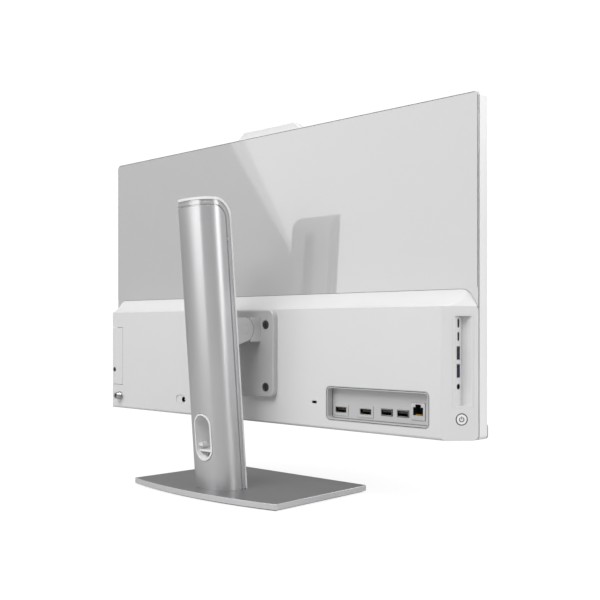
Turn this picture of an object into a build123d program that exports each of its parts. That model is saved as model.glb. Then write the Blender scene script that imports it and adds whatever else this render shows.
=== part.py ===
"""All-in-one desktop computer on a height-adjustable stand.

Millimetres. +Z is up, the screen faces -Y, +X is to the right of someone facing the screen.
The origin is on the surface the stand rests on, under the middle of the whole object.
"""
import os
from math import atan2, cos, degrees, hypot, radians, sin, tan

from build123d import *

os.makedirs("parts", exist_ok=True)

# ---------------------------------------------------------------- driving dimensions
# display
HALF_WIDTH = 309.4          # half the width of the display
Z_LOW, Z_HIGH = 83.0, 441.0  # bottom and top edge of the display
Y_FRONT = -52.0             # front of the bezel
Y_BACK = -35.0              # glossy rear panel
Y_HUMP = -7.5               # rear face of the lower bulge
SEAM = 1.4                  # open groove between bezel and rear shells
SKIN = 1.2                  # thickness of the rear panel
CORNER = 4.5                # corner radius of the display outline
WALL = 2.2                  # wall of the rear housing
BEZEL = 2.4                 # visible width of the bezel
CHIN = 16.6                 # height of the chin under the screen
HUMP_HALF = 285.0           # half width of the bulge's flat rear face
HUMP_TOP, HUMP_FOOT = 220.3, 238.5  # top of the bulge at its rear face and where it meets the panel
COVE = 4.5                  # hollow of the cove along the bulge's top
MITRE = 9.6                 # how far the top of each slanted end leans in over the cove's height

# mounting plate, tilt hinge
VESA = 75.0                 # square screw pattern
VESA_Z = 164.3              # its centre
TILT_Y, TILT_Z = 26.0, 196.3  # tilt axis, along X
BARREL_R = 14.4             # round end of the arm
ARM_HALF = 29.0             # half width of the arm
ARM_DROP = 2.9              # how much lower the arm is at the column than at its round end
KNUCKLE = (13.2, 20.8)      # the bracket's two knuckles, along X
AXLE_R = 4.0

# column
LEAN = 4.7                  # degrees, towards the rear
COL_HALF, COL_DEPTH = 32.5, 38.0
COL_FRONT = 24.0            # front of the column where it meets the base
COL_TOP = 348.8
TOP_R = 26.0                # rounding where the cover turns over the top
COVER, LIP_START, LIP_END, SHELL_START = 3.0, 6.0, 8.5, 10.5  # steps back from the cover's face
SHELL_WALL = 2.2
SLOT = (134.0, 316.0, 18.5)  # slide slot along the column: low end, high end, width
HOLE = (64.6, 52.0, 25.0)   # cable hole: centre along the column, length, width
RIM, RIM_GAP = 2.0, 0.5     # liner of the cable hole and the groove round it
ROD_R, ROD_X, ROD_V = 3.0, 21.0, 17.0

# base
BASE_TOP, PAD = 8.0, 1.6
BASE_FRONT, BASE_REAR, BASE_BULGE = -90.0, 72.0, 14.0
BASE_FRONT_HALF, BASE_REAR_HALF = 121.3, 125.5

# rear sockets
TRAY = (-268.7, -127.2, 93.2, 132.6)  # recess: x low, x high, z low, z high
TRAY_FLOOR = Y_HUMP - 9.0
SOCKET_Z, USB_Z = 105.4, 106.5
HDMI_X = (-142.8, -178.3)
USB_X = (-207.2, -228.8)
LAN_X = -248.6
BOARD_Y = -32.0             # rear face of the motherboard

# side sockets, in the notch of the slanted end
BAY_X, BAY_Y = -293.1, -30.0  # the two walls of the notch
BAY_Z = (118.5, 210.2)
SIDE_Y = -23.4
SIDE_C_Z = (202.9, 189.4)
SIDE_A_Z = (172.4, 154.0)
JACK_Z, JACK_R = 138.0, 1.8
BUTTON_Z, BUTTON_R = 104.8, 5.2

# other things on the rear face
DOOR_X, DOOR_Z = 260.0, (116.5, 199.2)
DOOR_SCREW = (280.0, 138.0)
DOOR_GAP = 0.5              # open line round the drive cover
ANTENNA = (265.0, 101.0)
INLET = (124.8, 102.7)
LOCK = (-109.6, 112.7)      # slot for a security lock
FAN = (100.0, 165.0)
BOSS_R = 6.0

# ---------------------------------------------------------------- frames
Y_JOIN = Y_BACK - SKIN      # front of the rear shells
EDGE = HALF_WIDTH - 0.4     # half the width of the rear shells
Y_RING = Y_JOIN - SEAM      # rear edge of the bezel
AXIS = Vector(0, sin(radians(LEAN)), cos(radians(LEAN)))
FOOT = Vector(0, COL_FRONT, BASE_TOP)
BACKWARDS = Vector(0, AXIS.Z, -AXIS.Y)
COL = Plane(origin=FOOT, x_dir=(1, 0, 0), z_dir=AXIS)             # local: x, back, up
COL_SIDE = Plane(origin=FOOT, x_dir=BACKWARDS, z_dir=(1, 0, 0))   # local: back, up
COL_FACE = Plane(origin=FOOT, x_dir=(1, 0, 0), z_dir=-BACKWARDS)  # local: x, up
COL_W0 = (COL_TOP - BASE_TOP) / AXIS.Z                            # front top corner, along the column
TILT = Vector(0, TILT_Y, TILT_Z) - FOOT
TILT_BACK, TILT_UP = TILT.dot(BACKWARDS), TILT.dot(AXIS)          # tilt axis seen from the column
SLANT = atan2(Y_HUMP - Y_BACK, EDGE - HUMP_HALF)                  # turn of the slanted end
SLANT_OUT = Vector(-sin(SLANT), cos(SLANT), 0)                    # its outward normal at the -X end


def facing_front(y):
    """Plane across the display: local x is X, local y is Z, extruding goes towards the screen."""
    return Plane(origin=(0, y, 0), x_dir=(1, 0, 0), z_dir=(0, -1, 0))


def facing_side(x):
    """Plane along the display: local x is Y, local y is Z, extruding goes towards +X."""
    return Plane(origin=(x, 0, 0), x_dir=(0, 1, 0), z_dir=(1, 0, 0))


# ---------------------------------------------------------------- shared shapes
def block(x, y, z, mode=Mode.ADD):
    """Block between a low and a high value on each axis."""
    with Locations(((x[0] + x[1]) / 2, (y[0] + y[1]) / 2, (z[0] + z[1]) / 2)):
        Box(x[1] - x[0], y[1] - y[0], z[1] - z[0], mode=mode)


def bar_y(x, z, y, radius, mode=Mode.ADD):
    """Round bar along Y."""
    with Locations((x, (y[0] + y[1]) / 2, z)):
        Cylinder(radius, y[1] - y[0], rotation=(90, 0, 0), mode=mode)


def bar_x(y, z, x, radius, mode=Mode.ADD):
    """Round bar along X."""
    with Locations(((x[0] + x[1]) / 2, y, z)):
        Cylinder(radius, x[1] - x[0], rotation=(0, 90, 0), mode=mode)


def both_sides(low, high):
    """The range from low to high and its mirror image."""
    return ((low, high), (-high, -low))


def panel(x, z, y, radius, mode=Mode.ADD):
    """Rounded rectangle across the display, from y[0] to y[1]."""
    with BuildSketch(facing_front(y[1])) as outline:
        with Locations(((x[0] + x[1]) / 2, (z[0] + z[1]) / 2)):
            RectangleRounded(x[1] - x[0], z[1] - z[0], radius)
    extrude(outline.sketch, amount=y[1] - y[0], mode=mode)


def finish(part, name):
    """Label a piece and write it."""
    part.part.label = name
    export_step(part.part, f"parts/{name}.step")


def hump_footprint(margin):
    """Outline of the bulge where it meets the rear panel: wide top corners, small bottom ones."""
    with BuildSketch(facing_front(20)) as footprint:
        with BuildLine():
            Polyline((-EDGE, Z_LOW), (EDGE, Z_LOW), (EDGE, HUMP_TOP), (EDGE - 12, HUMP_FOOT - 0.3),
                     (12 - EDGE, HUMP_FOOT - 0.3), (-EDGE, HUMP_TOP), close=True)
        make_face()
        fillet(footprint.vertices().group_by(Axis.Y)[1], 20)
        fillet(footprint.vertices().group_by(Axis.Y)[-1], 14)
        fillet(footprint.vertices().group_by(Axis.Y)[0], CORNER)
        if margin:
            offset(amount=margin, kind=Kind.INTERSECTION)
    return footprint.sketch


def hump(inset):
    """The bulge as a solid, every outer face moved in by inset, open towards the screen."""
    front = Y_JOIN - 2 * inset
    with BuildPart() as bulge:
        with BuildSketch(Plane.XY) as plan:
            with BuildLine():
                Polyline((-EDGE, front), (-EDGE, Y_BACK), (-HUMP_HALF, Y_HUMP), (HUMP_HALF, Y_HUMP),
                         (EDGE, Y_BACK), (EDGE, front), close=True)
            make_face()
            fillet(plan.vertices().group_by(Axis.Y)[-1], 7)
            if inset:
                offset(amount=-inset, kind=Kind.INTERSECTION)
        extrude(amount=Z_HIGH)
        run, rise = Y_BACK - Y_HUMP, HUMP_FOOT - HUMP_TOP
        chord = hypot(run, rise)
        middle = ((Y_HUMP + Y_BACK) / 2 - COVE * rise / chord, (HUMP_TOP + HUMP_FOOT) / 2 + COVE * run / chord)
        with BuildSketch(facing_side(-HALF_WIDTH)) as side:
            with BuildLine():
                Polyline((Y_BACK, HUMP_FOOT), (front, HUMP_FOOT), (front, Z_LOW), (Y_HUMP, Z_LOW),
                         (Y_HUMP, HUMP_TOP))
                ThreePointArc((Y_HUMP, HUMP_TOP), middle, (Y_BACK, HUMP_FOOT))
            make_face()
            fillet(side.vertices().group_by(Axis.Y)[0].sort_by(Axis.X)[-1], 3)
            if inset:
                offset(amount=-inset, kind=Kind.INTERSECTION)
        extrude(amount=2 * HALF_WIDTH, mode=Mode.INTERSECT)
        for end in (-1, 1):
            end_view = Plane(origin=(end * HUMP_HALF, Y_HUMP, 0), x_dir=(end * sin(SLANT), cos(SLANT), 0),
                             z_dir=(cos(SLANT), -end * sin(SLANT), 0))
            with BuildSketch(end_view) as end_side:
                with BuildLine():
                    Polyline((-700, 0), (0, 0), (0, HUMP_TOP), (-1.5 * MITRE, HUMP_TOP + 1.5 * rise),
                             (-700, HUMP_TOP + 1.5 * rise), close=True)
                make_face()
                if inset:
                    offset(amount=-inset, kind=Kind.INTERSECTION)
            extrude(end_side.sketch, amount=400, both=True, mode=Mode.INTERSECT)
        extrude(hump_footprint(-inset), amount=100, mode=Mode.INTERSECT)
    return bulge.part


def column_prism(inset):
    """The column's D-shaped section run along its lean."""
    with BuildPart() as prism:
        with BuildSketch(COL.offset(-20)) as section:
            with BuildLine():
                Polyline((-COL_HALF, COL_DEPTH - 7), (-COL_HALF, 0), (COL_HALF, 0), (COL_HALF, COL_DEPTH - 7))
                ThreePointArc((COL_HALF, COL_DEPTH - 7), (0, COL_DEPTH), (-COL_HALF, COL_DEPTH - 7))
            make_face()
            fillet(section.vertices().group_by(Axis.Y)[-1], 20)
            fillet(section.vertices().group_by(Axis.Y)[0], 2)
            if inset:
                offset(amount=-inset, kind=Kind.INTERSECTION)
        extrude(amount=400)
    return prism.part


def column_profile(step):
    """Everything behind and below the column's outer face moved in by step, bottom on the base."""
    slope = tan(radians(LEAN))
    top = COL_W0 - step / AXIS.Z

    def at(back, height):
        return (back, height + back * slope)

    with BuildPart() as slab:
        with BuildSketch(COL_SIDE.offset(-60)) as side:
            with BuildLine():
                Polyline(at(step, 0), at(60, 0), at(60, top), at(step, top), close=True)
            make_face()
            corner = side.vertices().sort_by(Axis.Y)[-2:].sort_by(Axis.X)[0]
            fillet(corner, max(TOP_R - step, 1.5))
        extrude(amount=120)
    return slab.part


def slot_cut(half, low, high, back, radius):
    """Upright rounded slot from in front of the column back to a depth."""
    with BuildSketch(COL_FACE.offset(5)) as outline:
        with Locations((0, (low + high) / 2)):
            RectangleRounded(2 * half, high - low, radius)
    extrude(outline.sketch, amount=-(back + 5), mode=Mode.SUBTRACT)


def hole_sketch(grow, forward):
    """Stadium outline of the cable hole, grown all round."""
    with BuildSketch(COL_FACE.offset(forward)) as outline:
        with Locations((0, HOLE[0])):
            SlotOverall(HOLE[1] + 2 * grow, HOLE[2] + 2 * grow, rotation=90)
    return outline.sketch


# shapes that several pieces are cut from
HUMP_OUTER = hump(0)
HUMP_INNER = hump(WALL)
PRISM = column_prism(0)
PRISM_GROOVE = column_prism(1.2)
PRISM_INNER = column_prism(SHELL_WALL)

# ---------------------------------------------------------------- stand: base
def base_outline(inset, z):
    """Base plan: straight front and sides, bowed rear edge."""
    with BuildSketch(Plane.XY.offset(z)) as plan:
        with BuildLine():
            Polyline((-BASE_REAR_HALF, BASE_REAR), (-BASE_FRONT_HALF, BASE_FRONT),
                     (BASE_FRONT_HALF, BASE_FRONT), (BASE_REAR_HALF, BASE_REAR))
            ThreePointArc((BASE_REAR_HALF, BASE_REAR), (0, BASE_REAR + BASE_BULGE),
                          (-BASE_REAR_HALF, BASE_REAR))
        make_face()
        fillet(plan.vertices(), 3)
        if inset:
            offset(amount=-inset, kind=Kind.INTERSECTION)
    return plan.sketch


BASE_BOLTS = [(x, y) for x in (-16, 16) for y in (40, 53)]
BOLT_R, BOLT_HEAD_R = 2.5, 4.6

with BuildPart() as base_plate:
    extrude(base_outline(0, PAD), amount=BASE_TOP - PAD)
    chamfer(base_plate.edges().group_by(Axis.Z)[-1], 0.5)
    with BuildSketch(Plane.XY) as base_holes:
        with Locations(*BASE_BOLTS):
            Circle(BOLT_R)
    extrude(amount=BASE_TOP, mode=Mode.SUBTRACT)
    with BuildSketch(Plane.XY) as base_sinks:
        with Locations(*BASE_BOLTS):
            Circle(BOLT_HEAD_R + 0.4)
    extrude(amount=PAD + 3.4, mode=Mode.SUBTRACT)
finish(base_plate, "base_plate")

with BuildPart() as base_pad:
    extrude(base_outline(4, 0), amount=PAD)
    with BuildSketch(Plane.XY) as pad_holes:
        with Locations(*BASE_BOLTS):
            Circle(BOLT_HEAD_R + 1.4)
    extrude(amount=PAD, mode=Mode.SUBTRACT)
finish(base_pad, "base_pad")

with BuildPart() as base_screws:
    with BuildSketch(Plane.XY.offset(PAD + 0.6)) as heads:
        with Locations(*BASE_BOLTS):
            Circle(BOLT_HEAD_R)
    extrude(amount=2.8)
    with BuildSketch(Plane.XY.offset(PAD + 3.4)) as shanks:
        with Locations(*BASE_BOLTS):
            Circle(BOLT_R)
    extrude(amount=14)
    with BuildSketch(Plane.XY.offset(PAD + 0.6)) as sockets:
        with Locations(*BASE_BOLTS):
            RegularPolygon(2.4, 6)
    extrude(amount=1.8, mode=Mode.SUBTRACT)
finish(base_screws, "base_screws")

# ---------------------------------------------------------------- stand: column
SPINE_FRONT, SPINE_WEB = 8.6, 1.4
SPINE_HALF, SPINE_BACK = 29.0, 19.0
FOOT_HEIGHT = 26.0

with BuildPart() as column_foot:
    add(column_prism(SHELL_WALL + 0.3))
    with BuildSketch(COL_SIDE.offset(-60)) as foot_side:
        with BuildLine():
            Polyline((10.4, 10.4 * tan(radians(LEAN))), (60, 60 * tan(radians(LEAN))), (60, FOOT_HEIGHT),
                     (10.4, FOOT_HEIGHT), close=True)
        make_face()
    extrude(amount=120, mode=Mode.INTERSECT)
    block((-27.2, 27.2), (0, 100), (0, 60), mode=Mode.INTERSECT)
    with BuildSketch(Plane.XY) as foot_holes:
        with Locations(*BASE_BOLTS):
            Circle(BOLT_R)
    extrude(amount=PAD + 3.4 + 14.5, mode=Mode.SUBTRACT)
    with BuildSketch(COL.offset(FOOT_HEIGHT)) as foot_rods:
        with Locations((-ROD_X, ROD_V), (ROD_X, ROD_V)):
            Circle(ROD_R)
    extrude(amount=-8, mode=Mode.SUBTRACT)
finish(column_foot, "column_foot")

with BuildPart() as column_cover:
    add(PRISM)
    add(column_profile(0), mode=Mode.INTERSECT)
    add(column_profile(COVER), mode=Mode.SUBTRACT)
    slot_cut(SLOT[2] / 2, SLOT[0], SLOT[1], COVER + 1, 3)
    extrude(hole_sketch(RIM + RIM_GAP, 5), amount=-(COVER + 6), mode=Mode.SUBTRACT)
finish(column_cover, "column_cover")

with BuildPart() as column_trim:
    add(PRISM_GROOVE)
    add(column_profile(COVER), mode=Mode.INTERSECT)
    with BuildPart(mode=Mode.PRIVATE) as lip:
        add(PRISM)
        add(column_profile(LIP_START), mode=Mode.INTERSECT)
        add(column_profile(LIP_END), mode=Mode.SUBTRACT)
    add(lip.part)
    add(column_profile(SHELL_START), mode=Mode.SUBTRACT)
    with BuildSketch(COL_FACE.offset(5)) as opening:
        with Locations((0, (COL_W0 - SHELL_START) / 2 - 10)):
            Rectangle(2 * SPINE_HALF + 0.4, COL_W0 - SHELL_START + 18)
    extrude(amount=-25, mode=Mode.SUBTRACT)
finish(column_trim, "column_trim")

with BuildPart() as column_shell:
    add(PRISM)
    add(column_profile(SHELL_START), mode=Mode.INTERSECT)
    add(PRISM_INNER, mode=Mode.SUBTRACT)
    extrude(hole_sketch(RIM + RIM_GAP, -SHELL_START), amount=-60, mode=Mode.SUBTRACT)
finish(column_shell, "column_shell")

with BuildPart() as column_spine:
    with BuildSketch(COL.offset(3)) as channel:
        with Locations((0, SPINE_FRONT + SPINE_WEB / 2)):
            Rectangle(2 * SPINE_HALF, SPINE_WEB)
        with Locations((SPINE_HALF - SPINE_WEB / 2, (SPINE_FRONT + SPINE_BACK) / 2),
                       (SPINE_WEB / 2 - SPINE_HALF, (SPINE_FRONT + SPINE_BACK) / 2)):
            Rectangle(SPINE_WEB, SPINE_BACK - SPINE_FRONT)
    extrude(amount=326)
    slot_cut(SLOT[2] / 2 + 1, SLOT[0] - 4, SLOT[1] + 4, 12, 3)
    extrude(hole_sketch(RIM, 5), amount=-20, mode=Mode.SUBTRACT)
finish(column_spine, "column_spine")

with BuildPart() as guide_rods:
    with BuildSketch(COL.offset(FOOT_HEIGHT - 8)) as rod_ends:
        with Locations((-ROD_X, ROD_V), (ROD_X, ROD_V)):
            Circle(ROD_R)
    extrude(amount=326 - FOOT_HEIGHT + 11)
finish(guide_rods, "guide_rods")

with BuildPart() as rod_bracket:
    with BuildSketch(COL.offset(326)) as bracket_plan:
        with Locations((0, 17.5)):
            RectangleRounded(54, 14, 3)
        with Locations((-ROD_X, ROD_V), (ROD_X, ROD_V)):
            Circle(ROD_R, mode=Mode.SUBTRACT)
    extrude(amount=4)
    with BuildSketch(COL.offset(326)) as strip_anchor:
        with Locations((0, 29.1)):
            Rectangle(16, 9.4)
    extrude(amount=4)
finish(rod_bracket, "rod_bracket")

STRIP_BACK = 33.4
with BuildPart() as spring_strip:
    with BuildSketch(COL.offset(TILT_UP - 42)) as strip_section:
        with Locations((0, STRIP_BACK + 0.55)):
            Rectangle(16, 0.3)
    extrude(amount=326 + 4 - TILT_UP + 42)
finish(spring_strip, "spring_strip")

with BuildPart() as cable_grommet:
    extrude(hole_sketch(RIM, 0), amount=-COL_DEPTH - 6)
    extrude(hole_sketch(0, 5), amount=-60, mode=Mode.SUBTRACT)
    with BuildPart(mode=Mode.PRIVATE) as reach:
        add(column_prism(-0.7))
    add(reach.part, mode=Mode.INTERSECT)
    with BuildSketch(COL.offset(HOLE[0] - 12)) as clip_plan:
        with Locations((HOLE[2] / 2 - 2.5, 29)):
            Rectangle(7, 8)
    extrude(amount=4)
    with BuildSketch(COL.offset(HOLE[0] - 18)) as ledge_plan:
        with Locations((0, 21)):
            Rectangle(HOLE[2] + 1, 24)
    extrude(amount=2)
finish(cable_grommet, "cable_grommet")

# ---------------------------------------------------------------- carriage
CARRIAGE_BACK = (11.5, 24.0)
CARRIAGE_HALF, CARRIAGE_REACH = 24.5, 27.0
BUSH_R, ROD_PLAY = 4.6, 0.05
DRUM_R, DRUM_BACK, DRUM_UP = 6.9, 26.4, 36.0
NECK_HALF, NECK_REACH = 8.6, 11.0
ARM_SCREW_UP = 5.5


def carriage_bores(radius, low, high, mode):
    """Round shapes round both guide rods, between two heights from the tilt axis."""
    with BuildSketch(COL.offset(TILT_UP + low)) as rings:
        with Locations((-ROD_X, ROD_V), (ROD_X, ROD_V)):
            Circle(radius)
    extrude(rings.sketch, amount=high - low, mode=mode)


def arm_screw_bores(radius, back, depth, mode):
    """Round shapes on the two arm screws' axes, running forwards from a depth in the column."""
    with BuildSketch(COL_FACE.offset(-back)) as bores:
        with Locations((0, TILT_UP - ARM_SCREW_UP), (0, TILT_UP + ARM_SCREW_UP)):
            Circle(radius)
    extrude(bores.sketch, amount=depth, mode=mode)


with BuildPart() as slide_carriage:
    with BuildSketch(COL.offset(TILT_UP - CARRIAGE_REACH)) as carriage_plan:
        with Locations((0, sum(CARRIAGE_BACK) / 2)):
            RectangleRounded(2 * CARRIAGE_HALF, CARRIAGE_BACK[1] - CARRIAGE_BACK[0], 2)
    extrude(amount=2 * CARRIAGE_REACH)
    with BuildSketch(COL.offset(TILT_UP + CARRIAGE_REACH)) as lug_plan:
        with Locations((-11.5, 23), (11.5, 23)):
            Rectangle(2.4, 8)
    extrude(amount=14)
    with Locations(COL.from_local_coords(Vector(0, DRUM_BACK, TILT_UP + DRUM_UP))):
        Cylinder(1.5, 40, rotation=(0, 90, 0), mode=Mode.SUBTRACT)
    carriage_bores(BUSH_R, -CARRIAGE_REACH, -CARRIAGE_REACH + 12, Mode.SUBTRACT)
    carriage_bores(BUSH_R, CARRIAGE_REACH - 12, CARRIAGE_REACH, Mode.SUBTRACT)
    carriage_bores(ROD_R + 0.6, -CARRIAGE_REACH, CARRIAGE_REACH, Mode.SUBTRACT)
    arm_screw_bores(2.0, CARRIAGE_BACK[1], 20, Mode.SUBTRACT)
finish(slide_carriage, "slide_carriage")

with BuildPart() as carriage_bushes:
    for end in (-CARRIAGE_REACH, CARRIAGE_REACH - 12):
        carriage_bores(BUSH_R, end, end + 12, Mode.ADD)
        carriage_bores(ROD_R + ROD_PLAY, end, end + 12, Mode.SUBTRACT)
finish(carriage_bushes, "carriage_bushes")

with BuildPart() as spring_drum:
    drum_place = COL.from_local_coords(Vector(0, DRUM_BACK, TILT_UP + DRUM_UP))
    with Locations(drum_place):
        Cylinder(DRUM_R, 18, rotation=(0, 90, 0))
        Cylinder(1.5, 25.4, rotation=(0, 90, 0))
finish(spring_drum, "spring_drum")

with BuildPart() as arm_screws:
    arm_screw_bores(2.0, CARRIAGE_BACK[1], 22, Mode.ADD)
    arm_screw_bores(3.6, CARRIAGE_BACK[1] + 2.2, 2.2, Mode.ADD)
    arm_screw_bores(1.4, CARRIAGE_BACK[1] + 2.2, 1.2, Mode.SUBTRACT)
finish(arm_screws, "arm_screws")

with BuildPart() as support_arm:
    bar_x(TILT_Y, TILT_Z, (-ARM_HALF, ARM_HALF), BARREL_R)
    with BuildSketch(COL_SIDE.offset(-ARM_HALF)) as arm_side:
        with BuildLine():
            Polyline((TILT_BACK, TILT_UP + BARREL_R), (-1.2, TILT_UP + BARREL_R),
                     (-1.2, TILT_UP - BARREL_R - ARM_DROP), (TILT_BACK, TILT_UP - BARREL_R), close=True)
        make_face()
    extrude(amount=2 * ARM_HALF)
    with BuildSketch(COL.offset(TILT_UP - 2 * BARREL_R)) as beyond:
        with Locations((0, 3.8)):
            Rectangle(4 * ARM_HALF, 10)
    extrude(amount=4 * BARREL_R, mode=Mode.SUBTRACT)
    with BuildSketch(COL.offset(TILT_UP - NECK_REACH)) as neck_plan:
        with Locations((0, (CARRIAGE_BACK[0] - 1.2) / 2)):
            Rectangle(2 * NECK_HALF, CARRIAGE_BACK[0] + 1.2)
    extrude(amount=2 * NECK_REACH)
    for x in both_sides(KNUCKLE[0] - 0.6, KNUCKLE[1] + 0.6):
        bar_x(TILT_Y, TILT_Z, x, 13.2, Mode.SUBTRACT)
        block(x, (TILT_Y - 20, TILT_Y), (TILT_Z - 20, TILT_Z + 20), Mode.SUBTRACT)
    bar_x(TILT_Y, TILT_Z, (-ARM_HALF, ARM_HALF), AXLE_R, Mode.SUBTRACT)
    for x in both_sides(ARM_HALF - 1.5, ARM_HALF):
        bar_x(TILT_Y, TILT_Z, x, 6, Mode.SUBTRACT)
    arm_screw_bores(2.0, CARRIAGE_BACK[1], 22.2, Mode.SUBTRACT)
finish(support_arm, "support_arm")

with BuildPart() as tilt_axle:
    bar_x(TILT_Y, TILT_Z, (1.5 - ARM_HALF, ARM_HALF - 1.5), AXLE_R)
finish(tilt_axle, "tilt_axle")

with BuildPart() as axle_caps:
    for x in both_sides(ARM_HALF - 1.5, ARM_HALF):
        bar_x(TILT_Y, TILT_Z, x, 5.9)
finish(axle_caps, "axle_caps")

with BuildPart() as friction_washers:
    for low in (KNUCKLE[0] - 0.6, KNUCKLE[1] + 0.1):
        for x in both_sides(low, low + 0.5):
            bar_x(TILT_Y, TILT_Z, x, 9)
            bar_x(TILT_Y, TILT_Z, x, AXLE_R + 0.05, Mode.SUBTRACT)
finish(friction_washers, "friction_washers")

# ---------------------------------------------------------------- display: mounting
VESA_SPOTS = [(x, VESA_Z + z) for x in (-VESA / 2, VESA / 2) for z in (-VESA / 2, VESA / 2)]
SCREW_HEAD_R, SCREW_R = 4.9, 2.0

with BuildPart() as tilt_bracket:
    panel((-50.4, 50.4), (114.9, 219.6), (Y_HUMP, 0), 8)
    fillet(tilt_bracket.faces().sort_by(Axis.Y)[-1].edges(), 1.6)
    block((-29.2, 29.2), (0, 17), (181.7, 211.3))
    bar_x(TILT_Y, TILT_Z, (-40, 40), BARREL_R + 0.5, Mode.SUBTRACT)
    for x in both_sides(*KNUCKLE):
        bar_x(TILT_Y, TILT_Z, x, 12.5)
        block(x, (5, TILT_Y - 4), (TILT_Z - 9, TILT_Z + 9))
    bar_x(TILT_Y, TILT_Z, (-25, 25), AXLE_R + 0.06, Mode.SUBTRACT)
    for x, z in VESA_SPOTS:
        bar_y(x, z, (Y_HUMP, 0), SCREW_R + 0.2, Mode.SUBTRACT)
        bar_y(x, z, (-2.4, 0), SCREW_HEAD_R + 0.7, Mode.SUBTRACT)
finish(tilt_bracket, "tilt_bracket")

with BuildPart() as vesa_screws:
    for x, z in VESA_SPOTS:
        bar_y(x, z, (-2.4, -0.3), SCREW_HEAD_R)
        bar_y(x, z, (-24, -2.4), SCREW_R)
        block((x - 0.6, x + 0.6), (-1.7, 0), (z - 3, z + 3), Mode.SUBTRACT)
        block((x - 3, x + 3), (-1.7, 0), (z - 0.6, z + 0.6), Mode.SUBTRACT)
finish(vesa_screws, "vesa_screws")

# ---------------------------------------------------------------- display: shells
SLANT_X = Vector(-cos(SLANT), -sin(SLANT), 0)
BUTTON_AT = Vector(-(HUMP_HALF + EDGE) / 2 - 0.8, (Y_HUMP + Y_BACK) / 2 - 0.95, BUTTON_Z)
BUTTON_AT = BUTTON_AT - SLANT_OUT * (BUTTON_AT - Vector(-HUMP_HALF, Y_HUMP, BUTTON_Z)).dot(SLANT_OUT)
BUTTON_FACE = Plane(origin=BUTTON_AT, x_dir=SLANT_X, z_dir=SLANT_OUT)
RING_R = 6.3


def button_disc(radius, start, depth, mode=Mode.ADD):
    """Disc on the slanted end: start is measured out from the face, depth goes inwards."""
    with BuildSketch(BUTTON_FACE.offset(start)) as disc:
        Circle(radius)
    extrude(disc.sketch, amount=-depth, mode=mode)


with BuildPart() as rear_housing:
    add(HUMP_OUTER)
    add(HUMP_INNER, mode=Mode.SUBTRACT)
    for x, z in VESA_SPOTS:
        bar_y(x, z, (Y_JOIN, Y_HUMP - WALL), BOSS_R)
        bar_y(x, z, (Y_JOIN, Y_HUMP), SCREW_R, Mode.SUBTRACT)
    panel((TRAY[0], TRAY[1]), (TRAY[2], TRAY[3]), (-20, 0), 6, Mode.SUBTRACT)
    block((-330, BAY_X + 1.6), (BAY_Y - 1.6, 10), (BAY_Z[0] - 1.6, BAY_Z[1] + 1.6), Mode.SUBTRACT)
    block((DOOR_X, 330), (BAY_Y, 10), DOOR_Z, Mode.SUBTRACT)
    button_disc(RING_R, 1, 10, Mode.SUBTRACT)
    with BuildSketch(facing_front(0)) as small_holes:
        with Locations((INLET[0] + 5.5, INLET[1])):
            SlotOverall(19.4, 11)
        with Locations(LOCK):
            Rectangle(7.4, 3.2)
        with Locations(ANTENNA):
            Circle(4.85)
    extrude(amount=20, mode=Mode.SUBTRACT)
    with BuildSketch(Plane.XY.offset(Z_LOW - 1)) as vents:
        for middle in (-150, 150):
            with Locations((middle, -22)):
                with GridLocations(7, 0, 24, 1):
                    SlotOverall(14, 3, rotation=90)
    extrude(amount=WALL + 2, mode=Mode.SUBTRACT)
finish(rear_housing, "rear_housing")

with BuildPart() as rear_panel:
    panel((-EDGE, EDGE), (HUMP_FOOT - 60, Z_HIGH - 0.4), (Y_JOIN, Y_BACK), CORNER)
    block((-400, 400), (-50, 0), (0, HUMP_FOOT - 20), Mode.SUBTRACT)
    extrude(hump_footprint(0.4), amount=100, mode=Mode.SUBTRACT)
finish(rear_panel, "rear_panel")

with BuildPart() as chassis_frame:
    panel((-308.0, 308.0), (Z_LOW + 1.4, Z_HIGH - 1.4), (Y_RING, Y_JOIN), CORNER)
    for x in both_sides(70, 290):
        panel(x, (250, 425), (Y_RING - 1, Y_JOIN + 1), 8, Mode.SUBTRACT)
finish(chassis_frame, "chassis_frame")

with BuildPart() as front_bezel:
    panel((-HALF_WIDTH, HALF_WIDTH), (Z_LOW, Z_HIGH), (Y_FRONT, Y_RING), CORNER)
    panel((2 - HALF_WIDTH, HALF_WIDTH - 2), (Z_LOW + 2, Z_HIGH - 2), (Y_FRONT + 1.2, 0), 3, Mode.SUBTRACT)
    panel((BEZEL - HALF_WIDTH, HALF_WIDTH - BEZEL), (Z_LOW + CHIN, Z_HIGH - BEZEL),
          (Y_FRONT - 1, 0), 2, Mode.SUBTRACT)
finish(front_bezel, "front_bezel")

with BuildPart() as chin_bar:
    panel((-HALF_WIDTH, HALF_WIDTH), (Z_LOW + 0.4, Z_LOW + CHIN - 0.4), (Y_FRONT - 2.4, Y_FRONT), 3)
    chamfer(chin_bar.faces().sort_by(Axis.Y)[0].edges(), 0.6)
finish(chin_bar, "chin_bar")

with BuildPart() as screen_glass:
    panel((BEZEL + 0.2 - HALF_WIDTH, HALF_WIDTH - BEZEL - 0.2), (Z_LOW + CHIN + 0.2, Z_HIGH - BEZEL - 0.2),
          (Y_FRONT + 0.3, Y_FRONT + 1.6), 1.8)
finish(screen_glass, "screen_glass")

with BuildPart() as lcd_module:
    panel((-304, 304), (97, 436.5), (Y_FRONT + 1.6, Y_RING), 2)
finish(lcd_module, "lcd_module")

# ---------------------------------------------------------------- display: sockets
def tray_ring(inset):
    """X and Z ranges of the socket recess, moved in by inset."""
    return (TRAY[0] + inset, TRAY[1] - inset), (TRAY[2] + inset, TRAY[3] - inset)


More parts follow.
